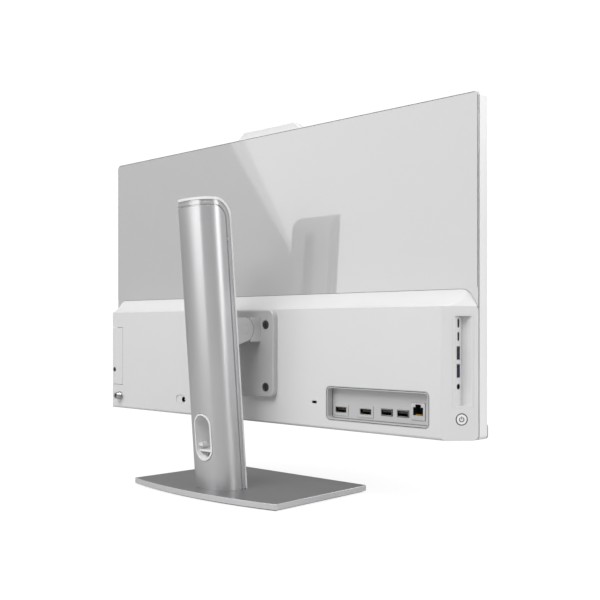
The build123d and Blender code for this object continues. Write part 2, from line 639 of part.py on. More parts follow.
with BuildPart() as socket_tray:
    panel(*tray_ring(0), (TRAY_FLOOR - 1.4, Y_HUMP), 6)
    panel(*tray_ring(0.8), (Y_HUMP - 1.0, 5), 5.2, Mode.SUBTRACT)
    panel(*tray_ring(1.5), (TRAY_FLOOR - 1.4, Y_HUMP - 0.2), 4.5)
    panel(*tray_ring(2.6), (TRAY_FLOOR, 5), 3.4, Mode.SUBTRACT)
    for x in HDMI_X:
        panel((x - 10.6, x + 10.6), (SOCKET_Z - 6.4, SOCKET_Z + 6.4), (TRAY_FLOOR, TRAY_FLOOR + 0.8), 1.2)
        block((x - 8.2, x + 8.2), (-30, 5), (SOCKET_Z - 3.5, SOCKET_Z + 3.5), Mode.SUBTRACT)
    for x in USB_X:
        block((x - 7.9, x + 7.9), (-30, 5), (USB_Z - 3.9, USB_Z + 3.9), Mode.SUBTRACT)
    block((LAN_X - 9.0, LAN_X + 9.0), (-30, 5), (100.7, 119.1), Mode.SUBTRACT)
finish(socket_tray, "socket_tray")

with BuildPart() as hdmi_sockets:
    for x in HDMI_X:
        mouth = TRAY_FLOOR + 0.5
        block((x - 8.1, x + 8.1), (BOARD_Y, mouth), (SOCKET_Z - 3.4, SOCKET_Z + 3.4))
        with BuildSketch(facing_front(mouth)) as shape:
            with BuildLine():
                Polyline((x - 7.5, SOCKET_Z + 2.8), (x + 7.5, SOCKET_Z + 2.8), (x + 7.5, SOCKET_Z - 0.8),
                         (x + 5.6, SOCKET_Z - 2.8), (x - 5.6, SOCKET_Z - 2.8), (x - 7.5, SOCKET_Z - 0.8), close=True)
            make_face()
        extrude(amount=11, mode=Mode.SUBTRACT)
        block((x - 5.6, x + 5.6), (mouth - 11, mouth - 2), (SOCKET_Z - 0.2, SOCKET_Z + 0.9))
finish(hdmi_sockets, "hdmi_sockets")

with BuildPart() as usb_sockets:
    for x in USB_X:
        mouth = TRAY_FLOOR + 0.6
        block((x - 7.8, x + 7.8), (BOARD_Y, mouth), (USB_Z - 3.8, USB_Z + 3.8))
        block((x - 6.9, x + 6.9), (mouth - 12, mouth), (USB_Z - 3.0, USB_Z + 3.0), Mode.SUBTRACT)
        block((x - 5.9, x + 5.9), (mouth - 12, mouth - 1), (USB_Z + 0.3, USB_Z + 2.1))
finish(usb_sockets, "usb_sockets")

with BuildPart() as lan_socket:
    mouth = TRAY_FLOOR + 0.6
    block((LAN_X - 8.9, LAN_X + 8.9), (BOARD_Y, mouth), (100.8, 119.0))
    block((LAN_X - 6.3, LAN_X + 6.3), (mouth - 12, mouth), (106.0, 114.4), Mode.SUBTRACT)
    block((LAN_X - 3.4, LAN_X + 3.4), (mouth - 12, mouth), (114.4, 117.4), Mode.SUBTRACT)
    block((LAN_X - 6.3, LAN_X + 6.3), (mouth - 0.5, mouth), (102.3, 104.2), Mode.SUBTRACT)
finish(lan_socket, "lan_socket")

with BuildPart() as side_socket_bay:
    add(HUMP_OUTER)
    block((-330, BAY_X + 1.6), (BAY_Y - 1.6, 10), (BAY_Z[0] - 1.6, BAY_Z[1] + 1.6), Mode.INTERSECT)
    block((-330, BAY_X), (BAY_Y, 10), BAY_Z, Mode.SUBTRACT)
    for z in SIDE_C_Z:
        with BuildSketch(facing_side(BAY_X - 1)) as slot:
            with Locations((SIDE_Y, z)):
                SlotOverall(9.6, 3.8, rotation=90)
        extrude(amount=4, mode=Mode.SUBTRACT)
    for z in SIDE_A_Z:
        block((BAY_X - 1, BAY_X + 3), (SIDE_Y - 3.2, SIDE_Y + 3.2), (z - 7.2, z + 7.2), Mode.SUBTRACT)
    bar_x(SIDE_Y, JACK_Z, (BAY_X - 1, BAY_X + 3), 3.0, Mode.SUBTRACT)
finish(side_socket_bay, "side_socket_bay")

BODY_END = BAY_X + 14.5
with BuildPart() as usb_c_sockets:
    for z in SIDE_C_Z:
        with BuildSketch(facing_side(BAY_X + 0.1)) as shell:
            with Locations((SIDE_Y, z)):
                SlotOverall(9.5, 3.7, rotation=90)
        extrude(amount=12)
        with BuildSketch(facing_side(BAY_X)) as mouth_shape:
            with Locations((SIDE_Y, z)):
                SlotOverall(8.6, 2.8, rotation=90)
        extrude(amount=9, mode=Mode.SUBTRACT)
        block((BAY_X + 1, BAY_X + 10), (SIDE_Y - 0.35, SIDE_Y + 0.35), (z - 3.2, z + 3.2))
finish(usb_c_sockets, "usb_c_sockets")

with BuildPart() as side_usb_sockets:
    for z in SIDE_A_Z:
        block((BAY_X + 0.1, BODY_END), (SIDE_Y - 3.1, SIDE_Y + 3.1), (z - 7.1, z + 7.1))
        block((BAY_X, BAY_X + 11), (SIDE_Y - 2.6, SIDE_Y + 2.6), (z - 6.4, z + 6.4), Mode.SUBTRACT)
        block((BAY_X + 0.8, BAY_X + 12), (SIDE_Y - 1.8, SIDE_Y - 0.1), (z - 5.7, z + 5.7))
finish(side_usb_sockets, "side_usb_sockets")

with BuildPart() as audio_jack:
    bar_x(SIDE_Y, JACK_Z, (BAY_X + 0.1, BAY_X + 1.6), 2.9)
    block((BAY_X + 1.6, BAY_X + 14), (SIDE_Y - 3.2, SIDE_Y + 3.2), (JACK_Z - 3.4, JACK_Z + 3.4))
    bar_x(SIDE_Y, JACK_Z, (BAY_X - 1, BAY_X + 13), JACK_R, Mode.SUBTRACT)
finish(audio_jack, "audio_jack")

with BuildPart() as side_board:
    block((BAY_X + 1.8, -272), (BOARD_Y - 1.6, BOARD_Y), (120, 214))
finish(side_board, "side_board")

with BuildPart() as power_inlet:
    with BuildSketch(facing_front(Y_HUMP - 0.6)) as inlet_face:
        with Locations((INLET[0] + 5.5, INLET[1])):
            SlotOverall(19.2, 10.8)
    extrude(amount=1.6)
    block((INLET[0] - 6, INLET[0] + 6), (-22, Y_HUMP - 2.2), (INLET[1] - 5.4, INLET[1] + 5.4))
    bar_y(*INLET, (-20, 0), 3.7, Mode.SUBTRACT)
    bar_y(*INLET, (-21, Y_HUMP - 3), 1.1)
finish(power_inlet, "power_inlet")

with BuildPart() as antenna_socket:
    bar_y(*ANTENNA, (-16, -4.7), 4.6)
    bar_y(*ANTENNA, (-4.7, 1.6), 4.75)
    chamfer(antenna_socket.faces().sort_by(Axis.Y)[-1].edges(), 0.5)
    bar_y(*ANTENNA, (-4, 3), 2.3, Mode.SUBTRACT)
    bar_y(*ANTENNA, (-4.5, 0.6), 0.7)
finish(antenna_socket, "antenna_socket")

with BuildPart() as antenna_nut:
    with BuildSketch(facing_front(Y_HUMP + 2.6)) as nut_shape:
        with Locations(ANTENNA):
            RegularPolygon(6.5, 6)
            Circle(4.6, mode=Mode.SUBTRACT)
    extrude(amount=2.6)
finish(antenna_nut, "antenna_nut")

# ---------------------------------------------------------------- display: drive bay
with BuildPart() as drive_cover:
    add(HUMP_OUTER)
    add(hump(2.0), mode=Mode.SUBTRACT)
    block((DOOR_X + DOOR_GAP, 330), (BAY_Y + DOOR_GAP, 10), (DOOR_Z[0] + DOOR_GAP, DOOR_Z[1] - DOOR_GAP),
          Mode.INTERSECT)
    bar_y(*DOOR_SCREW, (-20, 0), 1.6, Mode.SUBTRACT)
    bar_y(*DOOR_SCREW, (Y_HUMP - 1.1, 0), 3.3, Mode.SUBTRACT)
finish(drive_cover, "drive_cover")

with BuildPart() as drive_cover_screw:
    bar_y(*DOOR_SCREW, (Y_HUMP - 1.1, Y_HUMP - 0.1), 3.0)
    bar_y(*DOOR_SCREW, (-18, Y_HUMP - 1.1), 1.5)
    block((DOOR_SCREW[0] - 0.35, DOOR_SCREW[0] + 0.35), (Y_HUMP - 0.6, 0),
          (DOOR_SCREW[1] - 1.8, DOOR_SCREW[1] + 1.8), Mode.SUBTRACT)
    block((DOOR_SCREW[0] - 1.8, DOOR_SCREW[0] + 1.8), (Y_HUMP - 0.6, 0),
          (DOOR_SCREW[1] - 0.35, DOOR_SCREW[1] + 0.35), Mode.SUBTRACT)
finish(drive_cover_screw, "drive_cover_screw")

with BuildPart() as storage_tray:
    block((166, 274), (-26, -24.6), (119, 197))
    block((166, 167.2), (-24.6, -16), (119, 197))
    block((272, 283.4), (-26, Y_HUMP - WALL - 0.2), (133, 143))
    bar_y(*DOOR_SCREW, (-20, 0), 1.5, Mode.SUBTRACT)
finish(storage_tray, "storage_tray")

with BuildPart() as storage_drive:
    panel((170, 270), (123, 193), (-24.6, -17.6), 2)
finish(storage_drive, "storage_drive")

# ---------------------------------------------------------------- display: computer
with BuildPart() as motherboard:
    block((-262, -52), (BOARD_Y - 1.6, BOARD_Y), (90, 212))
finish(motherboard, "motherboard")

with BuildPart() as cold_plate:
    block((-122, -98), (BOARD_Y, BOARD_Y + 2.4), (160, 184))
    block((-130, -90), (BOARD_Y + 2.4, BOARD_Y + 4.4), (155, 195))
finish(cold_plate, "cold_plate")

PIPE_R = 2.1
PIPE_Y = BOARD_Y + 4.4 + PIPE_R
PIPES = [(26, 176, 214.4), (28, 170, 210.0)]  # where each starts to rise, low run, high run
with BuildPart() as heat_pipes:
    for turn, low, high in PIPES:
        with BuildLine() as route:
            FilletPolyline((-130, PIPE_Y, low), (turn, PIPE_Y, low), (turn + high - low, PIPE_Y, high),
                           (132, PIPE_Y, high), radius=14)
        with BuildSketch(Plane(origin=(-130, PIPE_Y, low), z_dir=(1, 0, 0))):
            Circle(PIPE_R)
        sweep(path=route.line)
finish(heat_pipes, "heat_pipes")

FIN_Y = (PIPE_Y + PIPE_R, -12.0)
with BuildPart() as heat_sink:
    block((78, 134), (FIN_Y[0], FIN_Y[0] + 1), (208.2, 216.4))
    with Locations((106, (FIN_Y[0] + FIN_Y[1]) / 2, 212.3)):
        with GridLocations(2.7, 0, 21, 1):
            Box(0.8, FIN_Y[1] - FIN_Y[0], 8.2)
finish(heat_sink, "heat_sink")

FAN_BODY_Y = (-27.0, -12.0)
with BuildPart() as fan_housing:
    panel((FAN[0] - 42, FAN[0] + 42), (FAN[1] - 42, FAN[1] + 42), FAN_BODY_Y, 20)
    bar_y(*FAN, (FAN_BODY_Y[0] + 1.5, FAN_BODY_Y[1] - 1.5), 37, Mode.SUBTRACT)
    block((FAN[0] - 28, FAN[0] + 34), (FAN_BODY_Y[0] + 1.5, FAN_BODY_Y[1] - 1.5), (FAN[1], FAN[1] + 50), Mode.SUBTRACT)
    bar_y(*FAN, (-14, 0), 24, Mode.SUBTRACT)
    bar_y(*FAN, (FAN_BODY_Y[0], -16), 1.5)
finish(fan_housing, "fan_housing")

with BuildPart() as fan_rotor:
    bar_y(*FAN, (-24.6, -14.2), 15)
    bar_y(*FAN, (-25.2, -15.4), 1.56, Mode.SUBTRACT)
    with Locations(Plane(origin=(FAN[0], -19.4, FAN[1]), x_dir=(1, 0, 0), z_dir=(0, -1, 0))):
        with PolarLocations(24, 23):
            Box(19, 1.2, 9.4, rotation=(0, 0, 18))
finish(fan_rotor, "fan_rotor")

with BuildPart() as memory_modules:
    for z in (142, 176):
        block((-212, -144.4), (BOARD_Y + 2.6, BOARD_Y + 3.8), (z, z + 30))
        block((-214, -142.4), (BOARD_Y, BOARD_Y + 2.6), (z - 3, z + 1))
        for step in range(4):
            block((-208 + step * 16, -196 + step * 16), (BOARD_Y + 3.8, BOARD_Y + 4.9), (z + 8, z + 24))
finish(memory_modules, "memory_modules")

with BuildPart() as ssd_card:
    block((-84, -62), (BOARD_Y + 1.2, BOARD_Y + 2.0), (98, 162))
    block((-82, -64), (BOARD_Y + 2.0, BOARD_Y + 3.4), (104, 122))
    block((-82, -64), (BOARD_Y + 2.0, BOARD_Y + 3.4), (128, 146))
    block((-84, -62), (BOARD_Y, BOARD_Y + 3.0), (94, 98))
finish(ssd_card, "ssd_card")

with BuildPart() as wireless_card:
    block((-84, -62), (BOARD_Y + 1.2, BOARD_Y + 2.0), (182, 204))
    block((-82, -66), (BOARD_Y + 2.0, BOARD_Y + 3.6), (186, 200))
    block((-84, -62), (BOARD_Y, BOARD_Y + 3.0), (204, 208))
finish(wireless_card, "wireless_card")

with BuildPart() as speakers:
    for x in both_sides(60, 112):
        panel(x, (86.2, 98.2), (-28, -12), 2)
        middle = sum(x) / 2
        with Locations((middle, -20, 86.2)):
            Cylinder(5.4, 3.0, mode=Mode.SUBTRACT)
finish(speakers, "speakers")

# ---------------------------------------------------------------- display: webcam
WEBCAM_Z = 446.2
WEBCAM_Y = (Y_FRONT - 2.0, -42.5)
with BuildPart() as webcam_housing:
    with BuildSketch(facing_front(WEBCAM_Y[1])) as webcam_shape:
        with BuildLine():
            Polyline((-60, Z_HIGH), (60, Z_HIGH), (44, 451.5), (-44, 451.5), close=True)
        make_face()
        fillet(webcam_shape.vertices().group_by(Axis.Y)[-1], 5)
    extrude(amount=WEBCAM_Y[1] - WEBCAM_Y[0])
    chamfer(webcam_housing.edges().filter_by(Axis.X).sort_by(Axis.Z)[-2:], 0.8)
    block((-18, 18), (WEBCAM_Y[0] - 1, WEBCAM_Y[0] + 1.1), (442.4, 449.6), Mode.SUBTRACT)
    bar_y(0, WEBCAM_Z, (WEBCAM_Y[0] - 5, WEBCAM_Y[0] + 6), 2.7, Mode.SUBTRACT)
finish(webcam_housing, "webcam_housing")

with BuildPart() as webcam_lens:
    bar_y(0, WEBCAM_Z, (WEBCAM_Y[0] + 1.4, WEBCAM_Y[0] + 6), 2.6)
    with Locations((0, WEBCAM_Y[0] - 2.5, WEBCAM_Z)):
        Sphere(4.6, mode=Mode.SUBTRACT)
finish(webcam_lens, "webcam_lens")

with BuildPart() as webcam_shutter:
    block((5.5, 16.5), (WEBCAM_Y[0] + 0.1, WEBCAM_Y[0] + 1.0), (442.9, 449.1))
    block((9.5, 12.5), (WEBCAM_Y[0] - 0.5, WEBCAM_Y[0] + 0.1), (444.5, 447.5))
finish(webcam_shutter, "webcam_shutter")

# ---------------------------------------------------------------- display: power button
with BuildPart() as button_ring:
    button_disc(RING_R - 0.1, 0.05, 3.0)
    button_disc(BUTTON_R + 0.15, 1, 10, Mode.SUBTRACT)
finish(button_ring, "button_ring")

with BuildPart() as power_button:
    button_disc(BUTTON_R, 0.2, 5)
finish(power_button, "power_button")
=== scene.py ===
"""The looks of the all-in-one computer: materials, socket details, lights and camera round the CAD frame.

Metres, in the CAD frame: +Z up, the screen faces -Y, the origin is on the table under the middle.
"""
import math
import bmesh
import bpy
from mathutils import Matrix, Quaternion, Vector


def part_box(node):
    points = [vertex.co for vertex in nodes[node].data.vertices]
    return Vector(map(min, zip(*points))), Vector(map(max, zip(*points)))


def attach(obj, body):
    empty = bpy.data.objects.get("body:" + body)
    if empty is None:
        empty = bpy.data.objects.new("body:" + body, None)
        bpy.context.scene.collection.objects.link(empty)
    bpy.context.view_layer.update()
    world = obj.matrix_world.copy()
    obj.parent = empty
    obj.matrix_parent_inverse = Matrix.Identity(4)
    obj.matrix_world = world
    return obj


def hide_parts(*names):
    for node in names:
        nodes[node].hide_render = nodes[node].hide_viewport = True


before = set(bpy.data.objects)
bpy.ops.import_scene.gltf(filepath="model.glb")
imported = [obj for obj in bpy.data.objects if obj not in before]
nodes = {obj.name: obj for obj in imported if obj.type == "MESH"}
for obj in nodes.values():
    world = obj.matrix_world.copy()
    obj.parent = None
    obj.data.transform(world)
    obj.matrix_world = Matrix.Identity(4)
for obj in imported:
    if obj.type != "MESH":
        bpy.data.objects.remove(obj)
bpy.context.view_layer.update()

MM = 0.001


# ---------------------------------------------------------------- materials
def link(tree, a, out, b, into):
    tree.links.new(a.outputs[out], b.inputs[into])


def finish(name, color, rough, *, metallic=0.0, ior=1.5, coat=0.0, coat_rough=0.05, drift=0.03, grain=0.0,
           grain_size=0.6, swirl=0.04, edge=0.35, brushed=None, spec=None):
    """Painted or moulded surface: colour drift, uneven gloss, fine grain and softly rounded edges.

    grain is the depth in mm of the fine texture, grain_size its size in mm, edge the rounding in mm, and
    brushed the axis along which the surface is brushed.
    """
    mat = bpy.data.materials.new(name)
    mat.use_nodes = True
    tree = mat.node_tree
    bsdf = tree.nodes["Principled BSDF"]
    bsdf.inputs["Metallic"].default_value = metallic
    bsdf.inputs["IOR"].default_value = ior
    bsdf.inputs["Coat Weight"].default_value = coat
    bsdf.inputs["Coat Roughness"].default_value = coat_rough
    if spec is not None:
        bsdf.inputs["Specular IOR Level"].default_value = spec
    where = tree.nodes.new("ShaderNodeTexCoord")
    large = tree.nodes.new("ShaderNodeTexNoise")
    large.inputs["Scale"].default_value = 14
    large.inputs["Detail"].default_value = 4
    link(tree, where, "Object", large, "Vector")
    tint = tree.nodes.new("ShaderNodeMapRange")
    tint.inputs["To Min"].default_value = 1 - drift
    tint.inputs["To Max"].default_value = 1 + drift
    link(tree, large, "Fac", tint, "Value")
    shade = tree.nodes.new("ShaderNodeVectorMath")
    shade.operation = "SCALE"
    shade.inputs[0].default_value = color
    link(tree, tint, "Result", shade, "Scale")
    link(tree, shade, "Vector", bsdf, "Base Color")
    fine = tree.nodes.new("ShaderNodeTexNoise")
    fine.inputs["Detail"].default_value = 3
    if brushed is None:
        fine.inputs["Scale"].default_value = 1000 / grain_size
        link(tree, where, "Object", fine, "Vector")
    else:
        stretch = tree.nodes.new("ShaderNodeMapping")
        stretch.inputs["Scale"].default_value = [40 if axis == brushed else 1500 for axis in "XYZ"]
        link(tree, where, "Object", stretch, "Vector")
        fine.inputs["Scale"].default_value = 1
        link(tree, stretch, "Vector", fine, "Vector")
    gloss = tree.nodes.new("ShaderNodeMapRange")
    gloss.inputs["To Min"].default_value = max(rough - swirl, 0.01)
    gloss.inputs["To Max"].default_value = rough + swirl
    link(tree, fine if brushed else large, "Fac", gloss, "Value")
    link(tree, gloss, "Result", bsdf, "Roughness")
    rounded = tree.nodes.new("ShaderNodeBevel")
    rounded.samples = 4
    rounded.inputs["Radius"].default_value = edge * MM
    if grain:
        bump = tree.nodes.new("ShaderNodeBump")
        bump.inputs["Strength"].default_value = 0.6
        bump.inputs["Distance"].default_value = grain * MM
        link(tree, fine, "Fac", bump, "Height")
        link(tree, rounded, "Normal", bump, "Normal")
        link(tree, bump, "Normal", bsdf, "Normal")
    else:
        link(tree, rounded, "Normal", bsdf, "Normal")
    return mat


def screen_material():
    """Black glass over the lit area, whose edge shows as a slightly deeper black frame."""
    mat = finish("screen_black", (0.006, 0.006, 0.007), 0.06, drift=0.05, swirl=0.01, ior=1.5, coat=0.5,
                 coat_rough=0.02, edge=0.2)
    tree = mat.node_tree
    bsdf = tree.nodes["Principled BSDF"]
    where = tree.nodes.new("ShaderNodeTexCoord")
    apart = tree.nodes.new("ShaderNodeSeparateXYZ")
    link(tree, where, "Object", apart, "Vector")
    low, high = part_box("screen_glass")
    masks = []
    for axis, margin in (("X", 5.5 * MM), ("Z", 4.0 * MM)):
        index = "XYZ".index(axis)
        middle = (low[index] + high[index]) / 2
        half = (high[index] - low[index]) / 2 - margin
        off = tree.nodes.new("ShaderNodeMath")
        off.operation = "SUBTRACT"
        off.inputs[1].default_value = middle
        link(tree, apart, axis, off, 0)
        size = tree.nodes.new("ShaderNodeMath")
        size.operation = "ABSOLUTE"
        link(tree, off, "Value", size, 0)
        inside = tree.nodes.new("ShaderNodeMath")
        inside.operation = "LESS_THAN"
        inside.inputs[1].default_value = half
        link(tree, size, "Value", inside, 0)
        masks.append(inside)
    both = tree.nodes.new("ShaderNodeMath")
    both.operation = "MULTIPLY"
    link(tree, masks[0], "Value", both, 0)
    link(tree, masks[1], "Value", both, 1)
    blend = tree.nodes.new("ShaderNodeMix")
    blend.data_type = "RGBA"
    blend.inputs["A"].default_value = (0.003, 0.003, 0.0035, 1)
    blend.inputs["B"].default_value = (0.012, 0.012, 0.014, 1)
    link(tree, both, "Value", blend, "Factor")
    link(tree, blend, "Result", bsdf, "Base Color")
    return mat


def base_material():
    """Cast base: mid-grey top, its edges polished brighter."""
    mat = finish("base_grey", (0.2, 0.2, 0.205), 0.34, metallic=0.35, grain=0.008, grain_size=0.35,
                 drift=0.03, edge=0.5)
    tree = mat.node_tree
    geometry = tree.nodes.new("ShaderNodeNewGeometry")
    apart = tree.nodes.new("ShaderNodeSeparateXYZ")
    link(tree, geometry, "Normal", apart, "Vector")
    upward = tree.nodes.new("ShaderNodeMath")
    upward.operation = "GREATER_THAN"
    upward.inputs[1].default_value = 0.9
    link(tree, apart, "Z", upward, 0)
    blend = tree.nodes.new("ShaderNodeMix")
    blend.data_type = "RGBA"
    blend.inputs["A"].default_value = (0.62, 0.62, 0.63, 1)
    blend.inputs["B"].default_value = (0.17, 0.17, 0.175, 1)
    link(tree, upward, "Value", blend, "Factor")
    link(tree, blend, "Result", tree.nodes["Principled BSDF"], "Base Color")
    return mat


def board_material():
    """Green circuit board with fine copper traces under the coating."""
    mat = finish("circuit_board", (0.02, 0.11, 0.055), 0.35, drift=0.15, coat=0.3, grain=0.02, grain_size=1.2)
    tree = mat.node_tree
    bsdf = tree.nodes["Principled BSDF"]
    where = tree.nodes.new("ShaderNodeTexCoord")
    traces = tree.nodes.new("ShaderNodeTexBrick")
    traces.inputs["Scale"].default_value = 160
    traces.inputs["Color1"].default_value = (0.02, 0.12, 0.06, 1)
    traces.inputs["Color2"].default_value = (0.03, 0.15, 0.08, 1)
    traces.inputs["Mortar"].default_value = (0.07, 0.20, 0.10, 1)
    traces.inputs["Mortar Size"].default_value = 0.03
    turn = tree.nodes.new("ShaderNodeMapping")
    turn.inputs["Rotation"].default_value = (math.pi / 2, 0, 0)
    link(tree, where, "Object", turn, "Vector")
    link(tree, turn, "Vector", traces, "Vector")
    link(tree, traces, "Color", bsdf, "Base Color")
    return mat


materials = {
    "shell": finish("shell_white", (0.70, 0.70, 0.705), 0.34, grain=0.012, grain_size=0.5, drift=0.012,
                    edge=0.6),
    "tray": finish("tray_white", (0.52, 0.52, 0.525), 0.36, grain=0.012, grain_size=0.5, drift=0.012,
                   edge=0.4),
    "back": finish("glossy_back", (0.50, 0.50, 0.505), 0.035, ior=1.9, swirl=0.012, drift=0.01, edge=0.3),
    "bezel": finish("bezel_white", (0.86, 0.86, 0.865), 0.30, grain=0.01, grain_size=0.5, drift=0.012,
                    edge=0.8),
    "chin": finish("chin_silver", (0.55, 0.55, 0.56), 0.28, metallic=0.8, brushed="X", grain=0.004,
                   edge=0.5),
    "column": finish("column_silver", (0.64, 0.64, 0.65), 0.34, metallic=0.85, grain=0.003, grain_size=0.25,
                     drift=0.012, edge=0.4),
    "trim": finish("trim_silver", (0.60, 0.60, 0.61), 0.26, metallic=0.6, grain=0.004, grain_size=0.3,
                   edge=0.3),
    "cover": finish("cover_white", (0.84, 0.84, 0.845), 0.32, grain=0.01, grain_size=0.5, drift=0.012,
                    edge=0.5),
    "bracket": finish("bracket_silver", (0.52, 0.52, 0.525), 0.36, metallic=0.15, grain=0.008,
                      grain_size=0.4,
                      edge=0.5),
    "base": base_material(),
    "rubber": finish("pad_rubber", (0.012, 0.012, 0.012), 0.75, grain=0.05, grain_size=0.8, edge=0.3),
    "dark": finish("dark_plastic", (0.018, 0.018, 0.019), 0.42, grain=0.012, grain_size=0.4, edge=0.25),
    # Dark grey of the chassis frame and the panel's seam line; it also colours the painted shade rings in the
    # socket tray.
    "seam": finish("seam_grey", (0.05, 0.05, 0.052), 0.5, grain=0.01, grain_size=0.5, edge=0.2),
    "lens": finish("lens_glass", (0.004, 0.004, 0.008), 0.05, coat=1.0, coat_rough=0.01, swirl=0.01,
                   edge=0.1),
    "steel": finish("plain_steel", (0.42, 0.42, 0.42), 0.28, metallic=1.0, brushed="Z", grain=0.004,
                    edge=0.2),
    "screw": finish("screw_zinc", (0.30, 0.30, 0.31), 0.32, metallic=1.0, grain=0.01, grain_size=0.7,
                    edge=0.2),
    "plated": finish("plated_shell", (0.55, 0.55, 0.56), 0.22, metallic=1.0, grain=0.003, grain_size=0.6,
                     edge=0.15),
    "cast": finish("cast_alloy", (0.45, 0.45, 0.46), 0.40, metallic=0.9, grain=0.03, grain_size=0.8,
                   edge=0.4),
    "copper": finish("copper_pipe", (0.60, 0.27, 0.15), 0.25, metallic=1.0, grain=0.004, grain_size=1.0,
                     edge=0.2),
    "gold": finish("gold_contact", (0.80, 0.52, 0.16), 0.25, metallic=1.0, grain=0.003, grain_size=0.5,
                   edge=0.05),
    "black_screw": finish("black_zinc", (0.09, 0.09, 0.095), 0.30, metallic=0.7, grain=0.01, grain_size=0.7,
                          edge=0.2),
    "tongue": finish("tongue_navy", (0.008, 0.014, 0.05), 0.40, grain=0.008, grain_size=0.5, edge=0.1),
    "ring": finish("ring_grey", (0.10, 0.10, 0.105), 0.30, metallic=0.4, edge=0.2, grain=0.004,
                   grain_size=0.5),
    "screen": screen_material(),
    "board": board_material(),
}
NODE_FINISH = {
    "tray": ["socket_tray"],
    "shell": ["rear_housing", "power_inlet", "side_socket_bay", "drive_cover", "webcam_housing"],
    "back": ["rear_panel"],
    "bezel": ["front_bezel"],
    "chin": ["chin_bar"],
    "column": ["column_shell"],
    "trim": ["column_trim"],
    "cover": ["column_cover", "cable_grommet", "power_button"],
    "bracket": ["tilt_bracket", "support_arm", "axle_caps"],
    "base": ["base_plate"],
    "rubber": ["base_pad"],
    "dark": ["hdmi_sockets", "usb_sockets", "lan_socket", "audio_jack", "lcd_module",
             "carriage_bushes", "spring_drum", "fan_housing", "fan_rotor", "speakers", "webcam_shutter"],
    "seam": ["chassis_frame"],
    "lens": ["webcam_lens"],
    "steel": ["column_spine", "guide_rods", "rod_bracket", "spring_strip", "tilt_axle", "friction_washers",
              "storage_tray"],
    "screw": ["base_screws", "arm_screws"],
    "black_screw": ["vesa_screws", "drive_cover_screw"],
    "plated": ["usb_c_sockets", "side_usb_sockets", "antenna_nut", "antenna_socket"],
    "cast": ["slide_carriage", "column_foot", "heat_sink", "storage_drive"],
    "copper": ["heat_pipes", "cold_plate"],
    "ring": ["button_ring"],
    "screen": ["screen_glass"],
    "board": ["motherboard", "memory_modules", "ssd_card", "wireless_card", "side_board"],
}
for key, names in NODE_FINISH.items():
    for name in names:
        slots = nodes[name].data.materials
        slots.clear()
        slots.append(materials[key])


# ---------------------------------------------------------------- shapes
def new_piece(name, build, material, body):
    """Mesh piece made by build(bmesh), with a finish, riding on a CAD body."""
    mesh = bpy.data.meshes.new(name)
    shape = bmesh.new()
    build(shape)
    bmesh.ops.recalc_face_normals(shape, faces=shape.faces)
    shape.to_mesh(mesh)
    shape.free()
    mesh.materials.append(materials[material])
    piece = bpy.data.objects.new(name, mesh)
    bpy.context.scene.collection.objects.link(piece)
    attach(piece, body)
    return piece


def add_block(shape, low, high, bevel=0.0):
    """Block between two corners in millimetres, with its edges rounded by bevel."""
    made = bmesh.ops.create_cube(shape, size=1)["verts"]
    low, high = Vector(low) * MM, Vector(high) * MM
    middle = (low + high) / 2
    size = high - low
    for vert in made:
        vert.co = Vector(c * s for c, s in zip(vert.co, size)) + middle
    if bevel:
        edges = list({edge for vert in made for edge in vert.link_edges})
        bmesh.ops.bevel(shape, geom=edges, offset=bevel * MM, segments=2, profile=0.5, affect="EDGES")


def add_lathe(shape, profile, place, steps=48):
    """Closed solid of revolution from (radius, height) pairs; place maps its axis +Z into the frame."""
    rings = []
    for radius, height in profile:
        ring = []
        for k in range(steps):
            turn = 2 * math.pi * k / steps
            at = Vector((radius * math.cos(turn), radius * math.sin(turn), height))
            ring.append(shape.verts.new(place @ at))
        rings.append(ring)
    for lower, upper in zip(rings, rings[1:]):
        for k in range(steps):
            n = (k + 1) % steps
            shape.faces.new((lower[k], lower[n], upper[n], upper[k]))
    shape.faces.new(list(reversed(rings[0])))
    shape.faces.new(rings[-1])


# ---------------------------------------------------------------- sockets' details
USB_X = (-207.2, -228.8)    # middles of the rear sockets, mm
HDMI_X = (-142.8, -178.3)
LAN_X = -248.6
SIDE_USB_Z = (172.4, 154.0)


def socket_tongues(shape):
    """Coloured tongues of the two side sockets, a hair larger than the moulded ones they cover."""
    for z in SIDE_USB_Z:
        add_block(shape, (-292.35, -25.25, z - 5.75), (-281.2, -23.45, z + 5.75), 0.25)


new_piece("usb_tongues", socket_tongues, "tongue", "display")


def usb_contacts(shape):
    """Four contact strips on each tongue."""
    for x in USB_X:
        for k in range(4):
            at = x - 3.75 + 2.5 * k
            add_block(shape, (at - 0.5, -26.0, 106.7), (at + 0.5, -17.4, 106.82))
    for z in SIDE_USB_Z:
        for k in range(4):
            at = z - 3.75 + 2.5 * k
            add_block(shape, (-291.8, -23.48, at - 0.5), (-284, -23.3, at + 0.5))


new_piece("usb_contacts", usb_contacts, "gold", "display")


def hdmi_contacts(shape):
    """Contact strips on the upper and lower side of both wide tongues."""
    for x in HDMI_X:
        for k in range(10):
            at = x - 4.5 + k
            add_block(shape, (at - 0.25, -24.0, 105.15), (at + 0.25, -18.2, 105.3))
            add_block(shape, (at - 0.25, -24.0, 106.3), (at + 0.25, -18.2, 106.42))


new_piece("hdmi_contacts", hdmi_contacts, "gold", "display")


